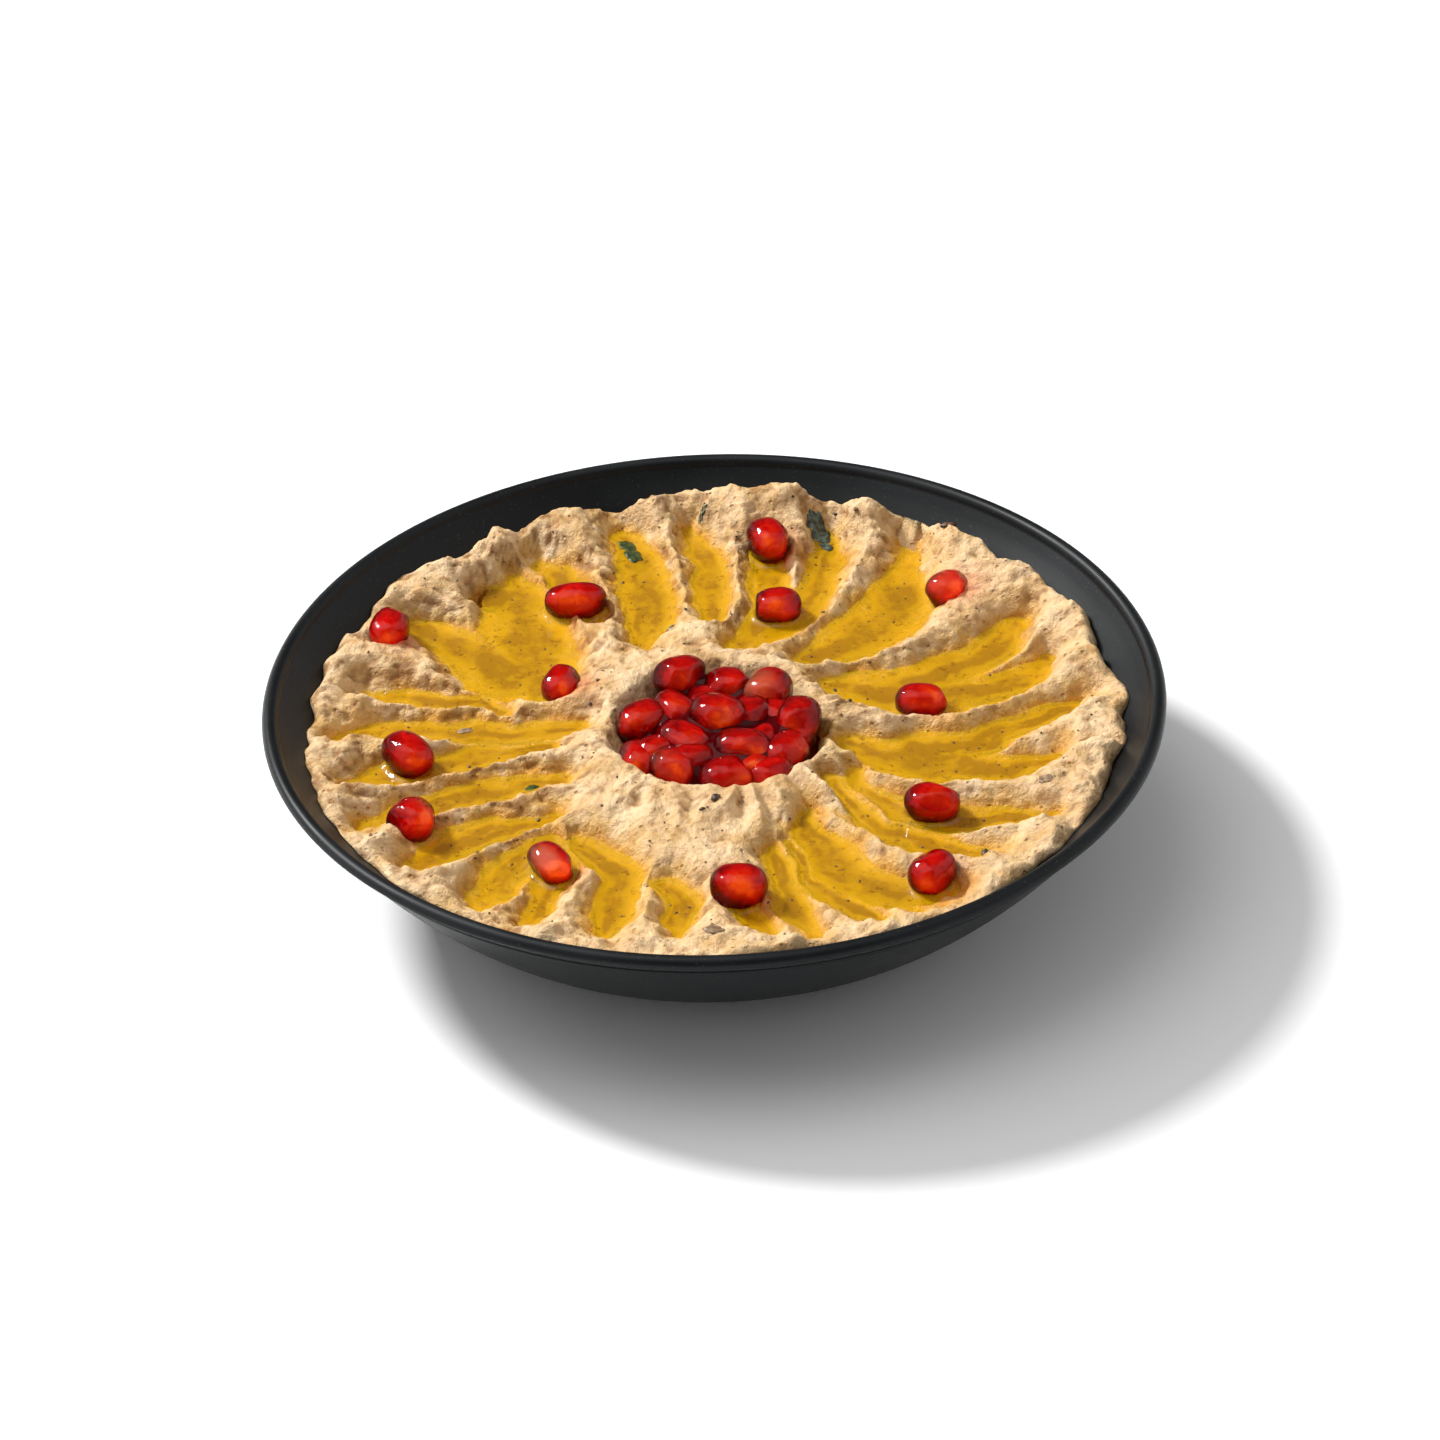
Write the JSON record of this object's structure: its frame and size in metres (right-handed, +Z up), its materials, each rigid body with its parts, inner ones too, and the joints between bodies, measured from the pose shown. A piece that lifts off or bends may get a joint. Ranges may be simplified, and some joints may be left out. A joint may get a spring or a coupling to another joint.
{
  "type": "baba ganoush in a dish",
  "caption": "Creamy aubergine dip swept into radial furrows that hold olive oil, topped with pomegranate arils and a heap of them in a central well, in a round dark dish.",
  "frame": {"origin": "middle of the dish's foot, on the table", "axes": "+Z up along the dish's axis; +Y away from the side that faces the viewer"},
  "size_m": [0.17, 0.17, 0.034],
  "materials": {
    "dish": "matte black glaze on stoneware",
    "dip": "moist, creamy, finely lumpy",
    "oil": "clear golden olive oil, mirror smooth",
    "aril": "wet, translucent red"
  },
  "bodies": {
    "root": {"aril_01": "aril", "aril_02": "aril", "aril_03": "aril", "aril_04": "aril", "aril_05": "aril", "aril_06": "aril", "aril_07": "aril", "aril_08": "aril", "aril_09": "aril", "aril_10": "aril", "aril_11": "aril", "aril_12": "aril", "aril_13": "aril", "aril_heap": "aril", "dip": "dip", "dish": "dish", "oil_01": "oil", "oil_02": "oil", "oil_03": "oil", "oil_04": "oil", "oil_05": "oil", "oil_06": "oil", "oil_07": "oil", "oil_08": "oil", "oil_09": "oil", "oil_10": "oil", "oil_11": "oil", "oil_12": "oil", "oil_13": "oil", "oil_14": "oil", "oil_15": "oil", "oil_16": "oil"}
  },
  "joints": []
}
